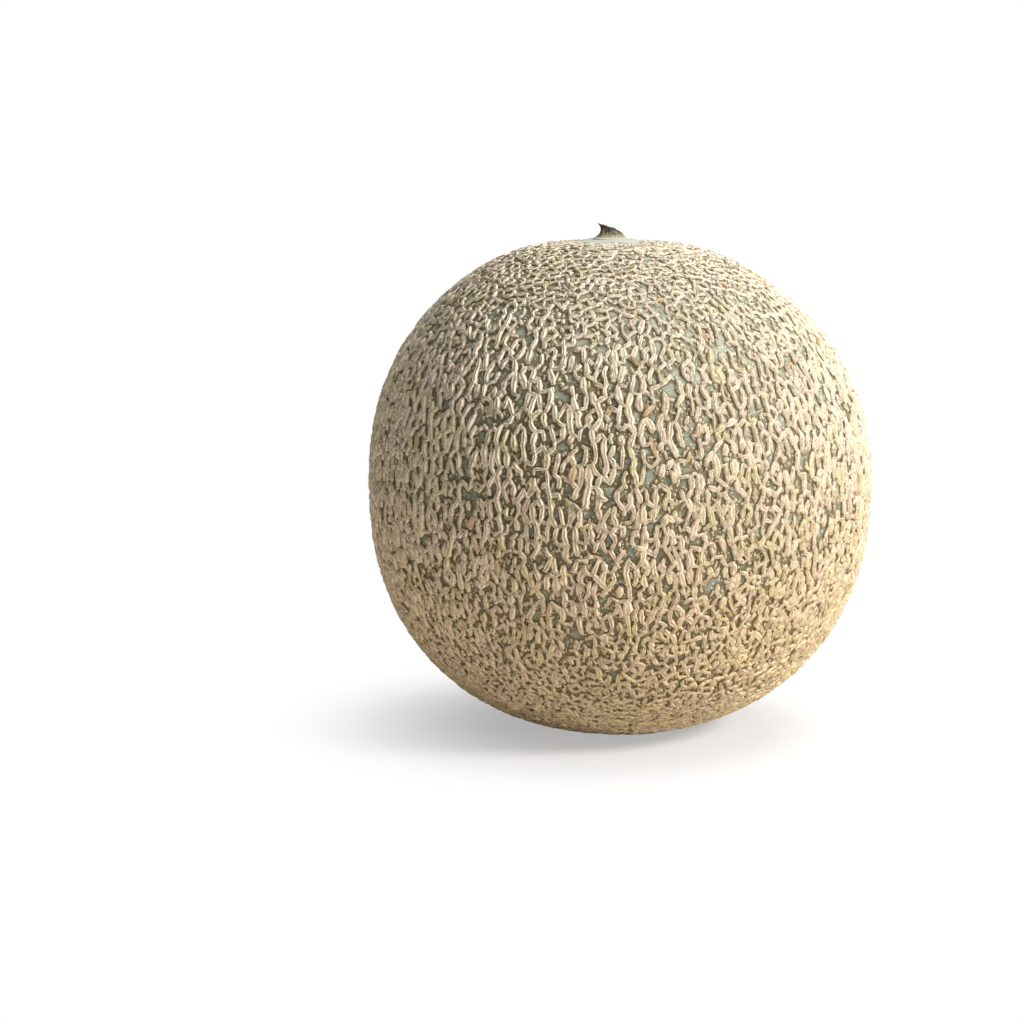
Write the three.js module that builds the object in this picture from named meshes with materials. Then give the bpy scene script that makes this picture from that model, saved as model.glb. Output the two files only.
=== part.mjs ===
// A whole netted cantaloupe melon with the stub of its stem, standing on a small flat spot.
// Lengths are in millimetres. +Z runs up from the resting face through the fruit to the stem,
// and the origin is on the resting face, below the middle of the fruit.
import * as THREE from "three";
import { ConvexHull } from "three/addons/math/ConvexHull.js";

// The fruit's outline, over the crests of its net.
const FRUIT_DIAMETER = 150;
const WAIST_HEIGHT = 74.7; // of the widest level above the resting face
const CROWN_HEIGHT = 71.3; // from the widest level up to the collar round the stem
const BASE_DEPTH = 75.6; // from the widest level down to the pole, before it is flattened
const SQUARENESS = 2.25; // 2 is an ellipse, and more gives fuller shoulders
const STEM_OFFSET = -2.6; // how far the stem's end of the fruit leans along X
const LOBES = 5;
const LOBE_HEIGHT = 0.35;
// Where the fruit swells out from that outline: how far, at which angle from straight up, over how many degrees.
const SWELLS = [
  [0.9, 20, 13], // round the collar
  [-1, 54, 23], // at the shoulder, which is drawn in
];

// The raised net: cells of bare rind, and between them flat-topped strands of cork.
const CELLS = 500;
const CELL_STRETCH = 0.4; // how much longer cells are down the fruit's side, and smaller at its poles
const STRAND_HEIGHT = 1.5;
const STRAND_TOP_WIDTH = 2.2;
const STRAND_FOOT_WIDTH = 4.2;
const STRAND_VARIATION = 0.3; // as a share of the widths
const CREST_VARIATION = 0.3;
const MOST_INSET = 0.6; // of the way to a cell's middle, so that every cell keeps some bare rind
const TRIES = 9; // places tried for each cell, of which the loneliest is taken
const SEED = 7;

// The bare collar round the stem, and the flat spot with the scar of the blossom in it.
const COLLAR_RADIUS = 12.5;
const COLLAR_GROOVE_RADIUS = 10.8;
const COLLAR_GROOVE_DEPTH = 0.9;
const SEAT_RADIUS = 6.4;
const SEAT_RISE = 0.3;
const SPOT_RADIUS = 15;
const SCAR_RADIUS = 5;
const SCAR_DEPTH = 0.8;

// The dried stub of the stem: a ribbed stump, broken off at a slant.
const STEM_SIDES = 30;
const STEM_RIBS = 5;
const STEM_RIB_SHARE = 0.07;
const STEM_FOOT_RADIUS = 5.6;
const STEM_NECK_RADIUS = 3.1;
const STEM_NECK_LEVEL = 0.55; // as a share of the stub's height
const STEM_END_RADIUS = 3.4;
const STEM_LOW_SIDE = 2.6;
const STEM_HIGH_SIDE = 4.9;
const STEM_LEVELS = 9;
const STEM_END_DISH = 0.7;

const RADIUS = FRUIT_DIAMETER / 2;
const CROWN_LEVEL = WAIST_HEIGHT + CROWN_HEIGHT;
const STEM_FOOT_LEVEL = CROWN_LEVEL + SEAT_RISE;

/** Random numbers from 0 to 1, the same on every run. */
function randomFrom(seed) {
  let state = seed;
  return () => {
    state = (state + 0x6d2b79f5) | 0;
    let t = Math.imul(state ^ (state >>> 15), 1 | state);
    t = (t + Math.imul(t ^ (t >>> 7), 61 | t)) ^ t;
    return ((t ^ (t >>> 14)) >>> 0) / 4294967296;
  };
}
const random = randomFrom(SEED);

/** The unit vector at an angle from straight up and an angle round the axis. */
function direction(fromTop, round) {
  const flat = Math.sin(fromTop);
  return new THREE.Vector3(flat * Math.cos(round), flat * Math.sin(round), Math.cos(fromTop));
}

/** An evenly spread direction, moved so that cells are long on the fruit's side and small at its poles. */
function stretched(even) {
  const t = Math.acos(THREE.MathUtils.clamp(even.z, -1, 1));
  const fromTop = t - (CELL_STRETCH / 2) * Math.sin(2 * t);
  const flat = Math.hypot(even.x, even.y) || 1;
  const share = Math.sin(fromTop) / flat;
  return new THREE.Vector3(even.x * share, even.y * share, Math.cos(fromTop));
}

/** The even angle that stretched() moves to this angle from the top. */
function unstretched(fromTop) {
  let t = fromTop;
  for (let i = 0; i < 30; i++) t = fromTop + (CELL_STRETCH / 2) * Math.sin(2 * t);
  return t;
}

/** The point of the fruit that lies a depth under its outline in a direction, above the resting face. */
function skin(dir, depth = 0) {
  const flat = Math.hypot(dir.x, dir.y);
  const half = dir.z > 0 ? CROWN_HEIGHT : BASE_DEPTH;
  const across = (flat / RADIUS) ** SQUARENESS;
  const along = (Math.abs(dir.z) / half) ** SQUARENESS;
  const lobe = LOBE_HEIGHT * Math.cos(LOBES * Math.atan2(dir.y, dir.x)) * flat ** 2;
  const fromTop = THREE.MathUtils.radToDeg(Math.atan2(flat, dir.z));
  const swells = SWELLS.map(([height, angle, spread]) => height * Math.exp(-(((fromTop - angle) / spread) ** 2)));
  const reach = swells.reduce((sum, swell) => sum + swell, (across + along) ** (-1 / SQUARENESS) + lobe);
  const point = dir.clone().multiplyScalar(reach);
  const slope = flat ? (Math.hypot(point.x, point.y) / RADIUS) ** (SQUARENESS - 1) / (RADIUS * flat) : 0;
  const rise = (Math.abs(point.z) / half) ** (SQUARENESS - 1) / half;
  const normal = new THREE.Vector3(dir.x * slope, dir.y * slope, Math.sign(dir.z) * rise).normalize();
  point.addScaledVector(normal, -depth);
  point.x += STEM_OFFSET * Math.max(0, point.z / CROWN_HEIGHT) ** 2;
  point.z = Math.max(0, point.z + WAIST_HEIGHT);
  return point;
}

/**
 * The middles of the cells. Each pole has a patch of them, which becomes the collar or the flat spot:
 * a ring on either side of the patch's edge fixes its radius, and the rest are spread at random.
 */
function cellMiddles() {
  const pitch = Math.sqrt((4 * Math.PI) / CELLS / Math.sin(Math.PI / 3));
  const middles = [];
  const keptClear = [];
  for (const [patch, sign, radius] of [["collar", 1, COLLAR_RADIUS], ["spot", -1, SPOT_RADIUS]]) {
    const edge = unstretched(radius / RADIUS);
    const count = Math.round((2 * Math.PI * Math.sin(edge)) / pitch);
    for (let i = 0; i < count; i++) {
      for (const side of [-1, 1]) {
        const ring = direction(edge + 0.45 * side * pitch, (2 * Math.PI * (i + side / 4)) / count);
        ring.z *= sign;
        middles.push({ at: ring, patch: side < 0 ? patch : null });
      }
    }
    middles.push({ at: new THREE.Vector3(0, 0, sign), patch });
    keptClear.push([sign, Math.cos(edge + 0.9 * pitch)]);
  }
  while (middles.length < CELLS) {
    let best = null;
    let loneliness = 0;
    for (let i = 0; i < TRIES; i++) {
      const tried = direction(Math.acos(1 - 2 * random()), 2 * Math.PI * random());
      if (keptClear.some(([sign, limit]) => sign * tried.z > limit)) continue;
      const nearest = Math.min(...middles.map(({ at }) => at.distanceToSquared(tried)));
      if (nearest > loneliness) [best, loneliness] = [tried, nearest];
    }
    if (best) middles.push({ at: best, patch: null });
  }
  return middles;
}

/** The directions of the net's crossings, and for each cell the loop of crossings round it. */
function netOf(points) {
  const faces = new ConvexHull().setFromPoints(points).faces;
  const numbers = new Map(faces.map((face, i) => [face, i]));
  const loops = new Map();
  for (const { edge } of faces) {
    for (const side of [edge, edge.next, edge.prev]) {
      const point = side.head().point;
      if (!loops.has(point)) loops.set(point, facesRound(side).map((face) => numbers.get(face)));
    }
  }
  return { crossings: faces.map((face) => stretched(face.normal)), loops: points.map((p) => loops.get(p)) };
}

/** The hull's faces round the point that a side runs to, anticlockwise from outside. */
function facesRound(start) {
  const met = [];
  let side = start;
  do {
    met.push(side.face);
    side = side.next.twin;
  } while (side !== start);
  return met.reverse();
}

/** The loop round a patch of cells: the sides that only one of them has, in order. */
function loopRoundPatch(loops) {
  const sides = loops.flatMap((loop) => loop.map((from, i) => [from, loop[(i + 1) % loop.length]]));
  const known = new Set(sides.map(String));
  const next = new Map(sides.filter(([from, to]) => !known.has(String([to, from]))));
  const [start] = next.keys();
  const loop = [start];
  for (let at = next.get(start); at !== start; at = next.get(at)) loop.push(at);
  return loop;
}

/** The cells of bare rind, with each patch as one cell, and the directions of the crossings between them. */
function net() {
  const middles = cellMiddles();
  const { crossings, loops } = netOf(middles.map(({ at }) => at));
  const loopsOf = (patch) => loops.filter((_, i) => middles[i].patch === patch);
  const cells = loopsOf(null).map((loop) => ({ loop }));
  for (const patch of ["collar", "spot"]) cells.push({ loop: loopRoundPatch(loopsOf(patch)), patch });
  return { crossings, cells };
}

/** Collects points and triangles into one closed surface. */
class Surface {
  positions = [];
  triangles = [];

  point(p) {
    this.positions.push(p.x, p.y, p.z);
    return this.positions.length / 3 - 1;
  }

  ring(points) {
    return points.map((p) => this.point(p));
  }

  /** A band from a ring in to as many new points, whose ring it returns. */
  bandTo(outer, points) {
    const inner = this.ring(points);
    outer.forEach((a, i) => {
      const j = (i + 1) % outer.length;
      this.triangles.push(a, outer[j], inner[j], a, inner[j], inner[i]);
    });
    return inner;
  }

  floor(ring) {
    for (let i = 1; i < ring.length - 1; i++) this.triangles.push(ring[0], ring[i], ring[i + 1]);
  }

  fan(ring, middle) {
    ring.forEach((a, i) => this.triangles.push(a, ring[(i + 1) % ring.length], middle));
  }

  geometry() {
    const made = new THREE.BufferGeometry();
    made.setAttribute("position", new THREE.Float32BufferAttribute(this.positions, 3));
    made.setIndex(this.triangles);
    made.computeVertexNormals();
    return made;
  }
}

/** Points moved to a radius round an upright axis and to one level. */
function circleOf(points, centreX, radius, level) {
  return points.map((p) => {
    const out = new THREE.Vector2(p.x - centreX, p.y).setLength(radius);
    return new THREE.Vector3(centreX + out.x, out.y, level);
  });
}

/** Directions round a cell, drawn in so that each side moves about a distance towards the middle. */
function drawnIn(corners, distance) {
  const middle = corners.reduce((sum, d) => sum.add(d), new THREE.Vector3()).normalize();
  const sides = corners.map((from, i) => {
    const side = new THREE.Line3(from, corners[(i + 1) % corners.length]);
    return side.closestPointToPoint(middle, false, new THREE.Vector3()).distanceTo(middle) * RADIUS;
  });
  return corners.map((corner, i) => {
    const share = (distance / sides[i] + distance / sides.at(i - 1)) / 2;
    return corner.clone().lerp(middle, Math.min(share, MOST_INSET)).normalize();
  });
}

/** The bare collar: a shallow groove inside the net, then a rise to the flat seat of the stem. */
function addCollar(surface, lip) {
  const groove = circleOf(lip.points, STEM_OFFSET, COLLAR_GROOVE_RADIUS, CROWN_LEVEL - COLLAR_GROOVE_DEPTH);
  const seat = circleOf(lip.points, STEM_OFFSET, SEAT_RADIUS, CROWN_LEVEL + SEAT_RISE);
  surface.floor(surface.bandTo(surface.bandTo(lip.ring, groove), seat));
}

/** The flat spot that the fruit rests on, with the dished scar of the blossom in its middle. */
function addFlatSpot(surface, lip) {
  const rim = surface.bandTo(lip.ring, circleOf(lip.points, 0, SCAR_RADIUS, 0));
  surface.fan(rim, surface.point(new THREE.Vector3(0, 0, SCAR_DEPTH)));
}

/** The sloping sides of the strands round a cell, and the bare rind between them. */
function addRind(surface, lip, foot) {
  surface.floor(surface.bandTo(lip.ring, foot));
}

/** The strands' tops: a strip along each side that two cells share, and a triangle where three cells meet. */
function addStrandTops(surface, cells) {
  const sides = new Map();
  const meetings = new Map();
  for (const { loop, lip } of cells) {
    loop.forEach((from, i) => {
      const to = loop[(i + 1) % loop.length];
      sides.set(`${from} ${to}`, [lip.ring[i], lip.ring[(i + 1) % loop.length]]);
      if (!meetings.has(from)) meetings.set(from, []);
      meetings.get(from).push({ corner: lip.ring[i], next: to, last: loop.at(i - 1) });
    });
  }
  for (const [ends, [near, far]] of sides) {
    const [, across] = sides.get(ends.split(" ").reverse().join(" "));
    surface.triangles.push(far, near, across);
  }
  for (const [first, second, third] of meetings.values()) {
    // Along a patch's edge only two cells may meet, and the strip has no gap there.
    if (!third) continue;
    const turn = second.next === first.last ? [first, second, third] : [first, third, second];
    surface.triangles.push(...turn.map(({ corner }) => corner));
  }
}

/** The fruit: rind and net in one closed body. */
function fruit() {
  const { crossings, cells } = net();
  const crestDepths = crossings.map(() => CREST_VARIATION * random());
  const surface = new Surface();
  for (const cell of cells) {
    const corners = cell.loop.map((i) => crossings[i]);
    const width = 1 + STRAND_VARIATION * (2 * random() - 1);
    const top = drawnIn(corners, (width * STRAND_TOP_WIDTH) / 2);
    const foot = drawnIn(corners, (width * STRAND_FOOT_WIDTH) / 2);
    const crest = top.map((d, i) => skin(d, crestDepths[cell.loop[i]]));
    const points = cell.patch === "spot" ? circleOf(crest, 0, SPOT_RADIUS, 0) : crest;
    cell.lip = { points, ring: surface.ring(points) };
    if (cell.patch === "collar") addCollar(surface, cell.lip);
    else if (cell.patch === "spot") addFlatSpot(surface, cell.lip);
    else addRind(surface, cell.lip, foot.map((d) => skin(d, STRAND_HEIGHT)));
  }
  addStrandTops(surface, cells);
  return surface.geometry();
}

/** The stub's radius at a share of its height, flared at the foot. */
function stemRadius(share) {
  if (share < STEM_NECK_LEVEL) {
    const down = 1 - share / STEM_NECK_LEVEL;
    return THREE.MathUtils.lerp(STEM_NECK_RADIUS, STEM_FOOT_RADIUS, down ** 2);
  }
  return THREE.MathUtils.mapLinear(share, STEM_NECK_LEVEL, 1, STEM_NECK_RADIUS, STEM_END_RADIUS);
}

/** The points round the stub at a share of its height. */
function stemLevel(share) {
  return Array.from({ length: STEM_SIDES }, (_, side) => {
    const round = (2 * Math.PI * side) / STEM_SIDES;
    const towardsHighSide = (1 - Math.cos(round)) / 2;
    const height = THREE.MathUtils.lerp(STEM_LOW_SIDE, STEM_HIGH_SIDE, towardsHighSide ** 2);
    const radius = stemRadius(share) * (1 + STEM_RIB_SHARE * share * Math.cos(STEM_RIBS * round));
    const level = STEM_FOOT_LEVEL + share * height;
    return new THREE.Vector3(STEM_OFFSET + radius * Math.cos(round), radius * Math.sin(round), level);
  });
}

/** The stub of the stem, from its flat foot on the collar to its slanting broken end. */
function stem() {
  const surface = new Surface();
  const foot = surface.ring(stemLevel(0));
  surface.floor([...foot].reverse());
  let top = foot;
  for (let level = 1; level <= STEM_LEVELS; level++) top = surface.bandTo(top, stemLevel(level / STEM_LEVELS));
  const dish = STEM_FOOT_LEVEL + (STEM_LOW_SIDE + STEM_HIGH_SIDE) / 2 - STEM_END_DISH;
  surface.fan(top, surface.point(new THREE.Vector3(STEM_OFFSET, 0, dish)));
  return surface.geometry();
}

/** A named piece in its own plain colour. */
function piece(name, geometry, color, roughness) {
  const made = new THREE.Mesh(geometry, new THREE.MeshStandardMaterial({ color, roughness, metalness: 0 }));
  made.name = name;
  return made;
}

const melon = new THREE.Group();
melon.add(piece("fruit", fruit(), 0xbdb395, 0.7));
melon.add(piece("stem_stub", stem(), 0x7c7565, 0.85));

export default melon;
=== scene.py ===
"""A whole netted melon, dressed over its solid model: bare rind, raised cork net and dried stem stub."""
import functools
import math

import bmesh
import bpy
import numpy as np
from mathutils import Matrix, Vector
from mathutils.kdtree import KDTree


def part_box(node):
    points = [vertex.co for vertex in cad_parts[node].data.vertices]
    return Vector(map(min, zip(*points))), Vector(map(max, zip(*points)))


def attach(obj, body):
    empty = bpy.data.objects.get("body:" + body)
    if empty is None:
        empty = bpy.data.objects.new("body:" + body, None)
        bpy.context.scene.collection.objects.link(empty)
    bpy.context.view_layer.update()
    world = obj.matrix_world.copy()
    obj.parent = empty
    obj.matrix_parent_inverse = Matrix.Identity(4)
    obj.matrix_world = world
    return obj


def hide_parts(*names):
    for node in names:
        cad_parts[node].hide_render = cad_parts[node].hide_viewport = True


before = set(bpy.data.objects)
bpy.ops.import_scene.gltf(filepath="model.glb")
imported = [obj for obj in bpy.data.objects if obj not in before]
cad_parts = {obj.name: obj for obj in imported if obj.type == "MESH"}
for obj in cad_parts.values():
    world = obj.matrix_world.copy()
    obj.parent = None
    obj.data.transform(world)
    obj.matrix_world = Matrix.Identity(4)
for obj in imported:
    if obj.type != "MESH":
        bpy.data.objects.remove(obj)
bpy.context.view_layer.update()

FRUIT_LOW, FRUIT_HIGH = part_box("fruit")
STEM_LOW, STEM_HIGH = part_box("stem_stub")

bl_info = {
    "name": "Netted melon",
    "version": (1, 0, 0),
    "blender": (4, 5, 0),
    "location": "View3D > Sidebar > Melon",
    "description": "Grows the rind, the cork net and the stem stub of a whole netted melon",
    "category": "Add Mesh",
}

MM = 0.001
UV_MAP = "OFBake"


def length(name, description, default):
    """A property that holds a length."""
    return bpy.props.FloatProperty(
        name=name, description=description, default=default, unit="LENGTH", subtype="DISTANCE", precision=5
    )


def share(name, description, default):
    """A property that holds a share from 0 to 1."""
    return bpy.props.FloatProperty(
        name=name, description=description, default=default, min=0, max=1, subtype="FACTOR"
    )


def colour(name, description, default):
    """A property that holds a linear colour."""
    return bpy.props.FloatVectorProperty(
        name=name, description=description, default=default, size=3, min=0, max=1, subtype="COLOR"
    )


class MelonShape(bpy.types.PropertyGroup):
    """The fruit's outline over the crests of its net, the same as the solid model's."""

    diameter: length("Diameter", "Width of the fruit over its net", 150 * MM)
    waist: length("Waist height", "Height of the widest level above the resting face", 74.7 * MM)
    crown: length("Crown", "From the widest level up to the collar round the stem", 71.3 * MM)
    base: length("Base", "From the widest level down to the pole before it is flattened", 75.6 * MM)
    squareness: bpy.props.FloatProperty(
        name="Squareness", description="2 is an ellipse, and more gives fuller shoulders", default=2.25
    )
    stem_offset: length("Stem offset", "How far the stem's end leans along X", -2.6 * MM)
    lobes: bpy.props.IntProperty(name="Lobes", description="Faint bulges round the fruit", default=5)
    lobe_height: length("Lobe height", "How far the lobes swell", 0.35 * MM)
    crown_swell: length("Crown swell", "How far the outline stands out round the stem", 0.9 * MM)
    shoulder_dip: length("Shoulder dip", "How far the outline is drawn in at the shoulder", 1.0 * MM)
    collar: length("Collar", "Radius of the bare collar round the stem", 11 * MM)
    scar: length("Scar", "Radius of the blossom scar underneath", 5 * MM)
    rind_depth: length("Rind depth", "How far the rind lies under the crests of the net", 1.05 * MM)


class MelonNet(bpy.types.PropertyGroup):
    """The raised cork net."""

    pitch: length("Cell pitch", "Distance between neighbouring cells round the waist", 3.05 * MM)
    half_width: length("Half width", "Half the width of a strand", 0.75 * MM)
    height: length("Height", "How far a strand stands above the rind", 1.1 * MM)
    root: length("Root", "How deep a strand is sunk into the rind", 0.15 * MM)
    broken: share("Broken", "Share of the net's bars that are missing", 0.12)
    islands: bpy.props.FloatProperty(name="Islands", description="Small bits in a cell", default=1.7)
    seed: bpy.props.IntProperty(name="Seed", description="Picks one net of many", default=11)


class MelonColours(bpy.types.PropertyGroup):
    """The colours of the fruit and its stem."""

    cork: colour("Cork", "The strands' flat tops", (0.64, 0.53, 0.4))
    # Also painted shade in the hollows of the strands' knobs.
    cork_crack: colour("Cork crack", "Thin cracks along the strands", (0.42, 0.31, 0.225))
    cork_lip: colour("Cork lip", "The lighter edges of the strands", (0.86, 0.785, 0.635))
    cork_pink: colour("Pink cork", "Patches of the net with a pinkish cast", (0.65, 0.54, 0.44))
    cork_green: colour("Green cast", "What tints the strands in greenish patches", (0.96, 0.99, 0.85))
    cork_golden: colour("Golden cast", "What tints the strands low down on the fruit", (0.98, 0.84, 0.66))
    cork_tan: colour("Tan cork", "A few scorched strands", (0.60, 0.42, 0.22))
    # Painted shade: the strands' flanks are darkened with this colour towards their feet.
    cork_side: colour("Cork side", "The flanks of the strands", (0.31, 0.21, 0.1))
    rind: colour("Rind", "Bare rind between the strands", (0.135, 0.155, 0.105))
    rind_pale: colour("Pale rind", "Bluish bloom on the bare rind", (0.275, 0.31, 0.245))
    # Partly the rind's paler colour near the stem, partly painted light that lifts the shade between the
    # strands.
    rind_top: colour("Upper rind", "Bare rind towards the stem", (0.40, 0.43, 0.34))
    # Painted shade: the rind is darkened with this colour close beside the strands and towards the bottom
    # of the fruit.
    crevice: colour("Crevice", "Rind close beside a strand", (0.165, 0.117, 0.05))
    collar: colour("Collar", "Smooth skin round the stem", (0.56, 0.555, 0.49))
    speck: colour("Speck", "Dots of cork on the bare rind", (0.62, 0.60, 0.42))
    bark: colour("Bark", "The dried skin of the stem", (0.04, 0.03, 0.022))
    pith: colour("Pith", "The pale broken fibres of the stem", (0.30, 0.255, 0.18))
    moss: colour("Green foot", "The olive foot of the stem", (0.36, 0.34, 0.19))


class MelonStage(bpy.types.PropertyGroup):
    """The floor, the light and the camera."""

    elevation: bpy.props.FloatProperty(
        name="Elevation",
        description="Camera's angle above the horizon",
        default=math.radians(8),
        subtype="ANGLE",
    )
    lens: bpy.props.FloatProperty(name="Lens", description="Focal length in millimetres", default=100)
    key: bpy.props.FloatProperty(
        name="Key", description="Power of the key light", default=17.0, unit="POWER"
    )
    fill: bpy.props.FloatProperty(name="Fill", description="Strength of the light all round", default=0.17)


# The fruit's shape


# The degrees from straight up where the outline swells or dips most, and over how many that falls off
CROWN_SWELL = (20, 13)
SHOULDER_DIP = (54, 23)
# How thick strands are at the poles, as shares of the waist's
THICKNESS_AT_STEM = 0.52
THICKNESS_AT_SCAR = 0.66
# How far the rind stays above the floor, as a share of its depth under the net
CLEAR_OF_FLOOR = 0.7


def smoothstep(low, high, value):
    """0 below one value, 1 above the other, and smooth between."""
    t = np.clip((value - low) / (high - low), 0, 1)
    return t * t * (3 - 2 * t)


def hump(angle, middle, spread):
    """1 where an angle is at the middle, in degrees, and falling off on either side over the spread."""
    return np.exp(-(((np.degrees(angle) - middle) / spread) ** 2))


def thickness(directions):
    """How thick strands are, where 1 is the waist's: finer towards the stem, less so underneath."""
    flat = np.hypot(directions[..., 0], directions[..., 1])
    least = np.where(directions[..., 2] > 0, THICKNESS_AT_STEM, THICKNESS_AT_SCAR)
    return least + (1 - least) * smoothstep(0.5, 1.0, flat)


def height_share(thick):
    """How far the net stands out for the strands' thickness, where 1 is the waist's."""
    return 0.25 + 0.75 * thick


def rind_depth(directions):
    """How far the rind lies under the crests of the net."""
    return bpy.context.scene.melon_shape.rind_depth * height_share(thickness(directions))


def skin(directions, depth):
    """Points a depth under the crests of the net in some directions, and the surface's normals there."""
    shape = bpy.context.scene.melon_shape
    radius, power = shape.diameter / 2, shape.squareness
    x, y, z = directions.T
    flat = np.maximum(np.hypot(x, y), 1e-9)
    half = np.where(z > 0, shape.crown, shape.base)
    reach = ((flat / radius) ** power + (np.abs(z) / half) ** power) ** (-1 / power)
    reach = reach + shape.lobe_height * np.cos(shape.lobes * np.arctan2(y, x)) * flat**2
    from_top = np.arctan2(flat, z)
    reach = reach + shape.crown_swell * hump(from_top, *CROWN_SWELL)
    reach = reach - shape.shoulder_dip * hump(from_top, *SHOULDER_DIP)
    points = directions * reach[:, None]
    slope = (flat * reach / radius) ** (power - 1) / (radius * flat)
    rise = np.sign(z) * (np.abs(points[:, 2]) / half) ** (power - 1) / half
    normals = np.column_stack([x * slope, y * slope, rise])
    normals /= np.linalg.norm(normals, axis=1)[:, None]
    depth = np.broadcast_to(depth, len(points))
    points = points - normals * depth[:, None]
    points[:, 0] += shape.stem_offset * np.maximum(0, points[:, 2] / shape.crown) ** 2
    # The fruit is flattened where it rests, and the rind stays clear of the floor there.
    points[:, 2] = np.maximum(points[:, 2] + shape.waist, CLEAR_OF_FLOOR * np.maximum(depth, 0))
    return points, normals


def bare_radius(height):
    """How far the net stays from the stem, or from the middle of the scar underneath."""
    shape = bpy.context.scene.melon_shape
    return np.where(height > 0, shape.collar, shape.scar)


# The net's cells


# At some angles from a pole: the cells' widths, as shares of the pitch, and their heights, of their widths
POLE_ANGLES = np.radians([0, 8, 16, 38, 60, 90])
WIDTHS_ABOVE = (1.1, 1.25, 1.45, 1.4, 1.06, 1.0)
WIDTHS_BELOW = (1.0, 1.0, 1.0, 0.95, 0.86, 1.0)
HEIGHTS_ABOVE = (1.0, 0.9, 0.72, 0.85, 1.8, 2.0)
HEIGHTS_BELOW = (1.0, 1.0, 0.95, 0.95, 1.35, 2.0)
FINE_ANGLES = np.radians(np.linspace(0.05, 90, 1800))
# How far a crossing slips from its place between the cells
CROSSING_SLIP = 0.27 * MM


@functools.lru_cache(maxsize=2)
def matching_angles(heights):
    """The angles that match the fine ones on a sphere where all cells are as wide as they are high."""
    slopes = 1 / (np.interp(FINE_ANGLES, POLE_ANGLES, heights) * np.sin(FINE_ANGLES))
    steps = (slopes[1:] + slopes[:-1]) / 2 * (FINE_ANGLES[1] - FINE_ANGLES[0])
    to_waist = np.append(np.cumsum(steps[::-1])[::-1], 0)
    return 2 * np.arctan(np.exp(-to_waist))


def angle_on_fruit(height):
    """The angle from the nearer pole on the fruit of what lies at some height on the even sphere."""
    angle = np.arccos(np.clip(np.abs(height), 0, 1))
    above = np.interp(angle, matching_angles(HEIGHTS_ABOVE), FINE_ANGLES)
    below = np.interp(angle, matching_angles(HEIGHTS_BELOW), FINE_ANGLES)
    return np.where(np.asarray(height) > 0, above, below)


def stretched(even):
    """Directions on the even sphere moved to the fruit: high cells on its side, wide ones at its poles."""
    from_pole = angle_on_fruit(even[:, 2])
    flat = np.maximum(np.hypot(even[:, 0], even[:, 1]), 1e-9)
    turned = even[:, :2] * (np.sin(from_pole) / flat)[:, None]
    return np.column_stack([turned, np.cos(from_pole) * np.where(even[:, 2] < 0, -1, 1)])


def spacing(height):
    """How far apart cells lie on the even sphere at some height on it, where 1 is the waist's distance."""
    from_pole = angle_on_fruit(height)
    above, below = (np.interp(from_pole, POLE_ANGLES, widths) for widths in (WIDTHS_ABOVE, WIDTHS_BELOW))
    grown = np.sqrt(np.maximum(1 - np.square(height), 1e-12)) / np.maximum(np.sin(from_pole), 1e-6)
    return np.where(np.asarray(height) > 0, above, below) * np.clip(grown, 0.2, 2)


def scattered(pitch, rng, tries=8):
    """Directions spread over the sphere at random, but none too near another."""
    # A cell takes up as much as a hexagon whose neighbours are a pitch away.
    cell = math.sin(math.pi / 3) * pitch**2
    levels = np.linspace(-1, 1, 401)
    count = round(4 * math.pi / cell * np.mean(spacing(levels) ** -2))
    points = np.zeros((count, 3))
    points[0] = (0, 0, 1)
    for i in range(1, count):
        tried = rng.normal(size=(tries, 3))
        tried /= np.linalg.norm(tried, axis=1)[:, None]
        near = np.arccos(np.clip((tried @ points[:i].T).max(axis=1), -1, 1))
        points[i] = tried[np.argmax(near / spacing(tried[:, 2]))]
    return points


def cells_round(points):
    """The cells round scattered directions: their crossings, the bars between those, and their middles."""
    hull = bmesh.new()
    for point in points:
        hull.verts.new(point)
    bmesh.ops.convex_hull(hull, input=hull.verts)
    bmesh.ops.triangulate(hull, faces=hull.faces)
    hull.normal_update()
    hull.faces.index_update()
    crossings = np.array([face.normal[:] for face in hull.faces])
    centres = np.array([face.calc_center_median()[:] for face in hull.faces])
    crossings *= np.sign((crossings * centres).sum(1))[:, None]
    joined = [[face.index for face in edge.link_faces] for edge in hull.edges]
    bars = np.array([pair for pair in joined if len(pair) == 2])
    rings = [[face.index for face in point.link_faces] for point in hull.verts]
    middles = np.array([crossings[ring].mean(axis=0) for ring in rings])
    hull.free()
    return crossings, bars, middles / np.linalg.norm(middles, axis=1)[:, None]


# Strands


# How far from its tips a strand's outermost rings lie at most, and about how far apart the others do
TIP_LENGTH = 0.45 * MM
TIP_SHARE = 0.22
RING_STEP = 1.5 * MM
# Over how many half widths a strand narrows to its tips, and how bluntly
TAPER_LENGTH = 1.9
TAPER_POWER = 0.6
# The share by which a strand's sides wander, and how many times that at most
UNEVEN = 0.19
UNEVEN_MOST = 1.7
# How far out a broad strand's lips lie
LIP = 0.56
# The empty edges of a strand's strip on the map
STRIP_EDGE = 0.03


class Section:
    """How far across, up and over its strip on the map each point of a strand's section lies."""

    def __init__(self, across, up, strip):
        self.across, self.up = np.array(across), np.array(up)
        self.points = len(across)
        self.strip = np.array(strip) * (1 - 2 * STRIP_EDGE) + STRIP_EDGE


BROAD = Section(
    across=[-1.4, -1.0, -LIP, 0, LIP, 1.0, 1.4],
    up=[0, 0.5, 1, 0.82, 1, 0.5, 0],
    strip=[0, 0.15, 0.29, 0.44, 0.59, 0.73, 0.88, 1],
)
SMALL = Section(across=[-1.3, -0.55, 0.55, 1.3], up=[0, 1, 1, 0], strip=[0, 0.25, 0.6, 0.85, 1])


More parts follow.
